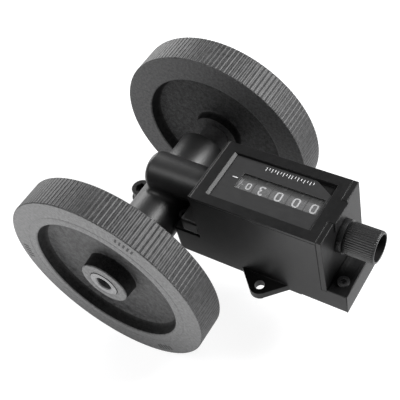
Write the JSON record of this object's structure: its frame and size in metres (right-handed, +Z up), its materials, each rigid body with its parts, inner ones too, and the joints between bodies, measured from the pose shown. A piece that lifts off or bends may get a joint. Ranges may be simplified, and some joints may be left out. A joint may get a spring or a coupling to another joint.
{
  "type": "cable length counter",
  "caption": "Cable length counter with rolling wheels on a cross axle, a geared arm, and a case with a number window, mounting ears, feet and a reset knob.",
  "frame": {"origin": "midway between the two ear holes, on the underside plane of the case", "axes": "+X forward to the reset knob, +Y along the wheel axle to the far wheel, +Z up through the window"},
  "size_m": [0.1653, 0.1176, 0.106],
  "materials": {
    "wheel_plastic": "moulded dark grey plastic with a satin face and a ribbed tread",
    "case_plastic": "satin black moulding",
    "housing_paint": "satin black paint on a casting",
    "knob_plastic": "satin black moulding with straight ridges",
    "label_sheet": "dark grey sheet with a fine brushed grain",
    "clear_lens": "clear polished",
    "drum_plastic": "grey moulding with white numerals",
    "bright_steel": "turned steel",
    "black_steel": "black oxide",
    "bronze": "sintered bronze",
    "gear_nylon": "natural nylon"
  },
  "bodies": {
    "counter_body": {"base_plate": "black_steel", "carrier_bar": "bright_steel", "counter_case": "case_plastic", "drive_shaft_front_bush": "bronze", "drive_shaft_rear_bush": "bronze", "far_bearing_circlip": "black_steel", "far_bearing_outer_ring": "bright_steel", "frame_tie_rods": "bright_steel", "front_foot_screws": "black_steel", "front_frame_plate": "bright_steel", "front_plate": "case_plastic", "gear_housing": "housing_paint", "housing_block_screws": "black_steel", "knob_bush": "knob_plastic", "label_plate": "label_sheet", "near_bearing_circlip": "black_steel", "near_bearing_outer_ring": "bright_steel", "pinion_carriers": "bright_steel", "rear_foot_screws": "black_steel", "rear_frame_plate": "bright_steel", "rear_lug_screw": "black_steel", "top_cover": "case_plastic", "window_lens": "clear_lens"},
    "wheel_axle": {"axle": "bright_steel", "axle_gear": "bright_steel", "axle_gear_pin": "bright_steel", "near_wheel": "wheel_plastic", "near_hub_sleeve": "bright_steel", "near_set_screw": "black_steel", "near_bearing_inner_ring": "bright_steel", "far_wheel": "wheel_plastic", "far_hub_sleeve": "bright_steel", "far_set_screw": "black_steel", "far_bearing_inner_ring": "bright_steel"},
    "near_ball_set": {"near_bearing_cage": "gear_nylon", "near_bearing_balls": "bright_steel"},
    "far_ball_set": {"far_bearing_cage": "gear_nylon", "far_bearing_balls": "bright_steel"},
    "count_drive": {"driven_gear": "gear_nylon", "driven_gear_pin": "bright_steel", "drive_shaft": "bright_steel", "drum_coupling": "bright_steel", "coupling_pin": "bright_steel", "number_drum_1": "drum_plastic"},
    "drum_2": {"number_drum_2": "drum_plastic"},
    "drum_3": {"number_drum_3": "drum_plastic"},
    "drum_4": {"number_drum_4": "drum_plastic"},
    "drum_5": {"number_drum_5": "drum_plastic"},
    "pinion_1": {"transfer_pinion_1": "gear_nylon"},
    "pinion_2": {"transfer_pinion_2": "gear_nylon"},
    "pinion_3": {"transfer_pinion_3": "gear_nylon"},
    "pinion_4": {"transfer_pinion_4": "gear_nylon"},
    "reset_shaft": {"drum_shaft": "bright_steel", "drum_shaft_clip": "black_steel", "reset_knob": "knob_plastic", "knob_screw": "black_steel"}
  },
  "joints": [
    {"name": "axle_spin", "type": "hinge", "parent": "counter_body", "child": "wheel_axle", "pos_m": [-0.0627, 0, 0.0133], "axis": [0, 1, 0], "continuous": true},
    {"name": "near_balls_roll", "type": "hinge", "parent": "counter_body", "child": "near_ball_set", "pos_m": [-0.0627, -0.0256, 0.0133], "axis": [0, 1, 0], "continuous": true},
    {"name": "far_balls_roll", "type": "hinge", "parent": "counter_body", "child": "far_ball_set", "pos_m": [-0.0627, 0.0256, 0.0133], "axis": [0, 1, 0], "continuous": true},
    {"name": "count_drive_spin", "type": "hinge", "parent": "counter_body", "child": "count_drive", "pos_m": [-0.0627, 0, 0.0305], "axis": [1, 0, 0], "continuous": true},
    {"name": "drum_2_spin", "type": "hinge", "parent": "counter_body", "child": "drum_2", "pos_m": [0, 0, 0.0305], "axis": [1, 0, 0], "continuous": true},
    {"name": "drum_3_spin", "type": "hinge", "parent": "counter_body", "child": "drum_3", "pos_m": [0, 0, 0.0305], "axis": [1, 0, 0], "continuous": true},
    {"name": "drum_4_spin", "type": "hinge", "parent": "counter_body", "child": "drum_4", "pos_m": [0, 0, 0.0305], "axis": [1, 0, 0], "continuous": true},
    {"name": "drum_5_spin", "type": "hinge", "parent": "counter_body", "child": "drum_5", "pos_m": [0, 0, 0.0305], "axis": [1, 0, 0], "continuous": true},
    {"name": "pinion_1_spin", "type": "hinge", "parent": "counter_body", "child": "pinion_1", "pos_m": [0, 0, 0.0235], "axis": [1, 0, 0], "continuous": true},
    {"name": "pinion_2_spin", "type": "hinge", "parent": "counter_body", "child": "pinion_2", "pos_m": [0, 0, 0.0235], "axis": [1, 0, 0], "continuous": true},
    {"name": "pinion_3_spin", "type": "hinge", "parent": "counter_body", "child": "pinion_3", "pos_m": [0, 0, 0.0235], "axis": [1, 0, 0], "continuous": true},
    {"name": "pinion_4_spin", "type": "hinge", "parent": "counter_body", "child": "pinion_4", "pos_m": [0, 0, 0.0235], "axis": [1, 0, 0], "continuous": true},
    {"name": "reset_turn", "type": "hinge", "parent": "counter_body", "child": "reset_shaft", "pos_m": [0, 0, 0.0305], "axis": [1, 0, 0], "continuous": true}
  ],
  "couplings": [
    {"joint": "near_balls_roll", "follows": "axle_spin", "ratio": 0.3706},
    {"joint": "far_balls_roll", "follows": "axle_spin", "ratio": 0.3706},
    {"joint": "count_drive_spin", "follows": "axle_spin", "ratio": 0.33333},
    {"joint": "drum_2_spin", "follows": "axle_spin", "ratio": 0.033333},
    {"joint": "drum_3_spin", "follows": "axle_spin", "ratio": 0.0033333},
    {"joint": "drum_4_spin", "follows": "axle_spin", "ratio": 0.00033333},
    {"joint": "drum_5_spin", "follows": "axle_spin", "ratio": 0.000033333},
    {"joint": "pinion_1_spin", "follows": "axle_spin", "ratio": 0.11111},
    {"joint": "pinion_2_spin", "follows": "axle_spin", "ratio": 0.011111},
    {"joint": "pinion_3_spin", "follows": "axle_spin", "ratio": 0.0011111},
    {"joint": "pinion_4_spin", "follows": "axle_spin", "ratio": 0.00011111}
  ]
}
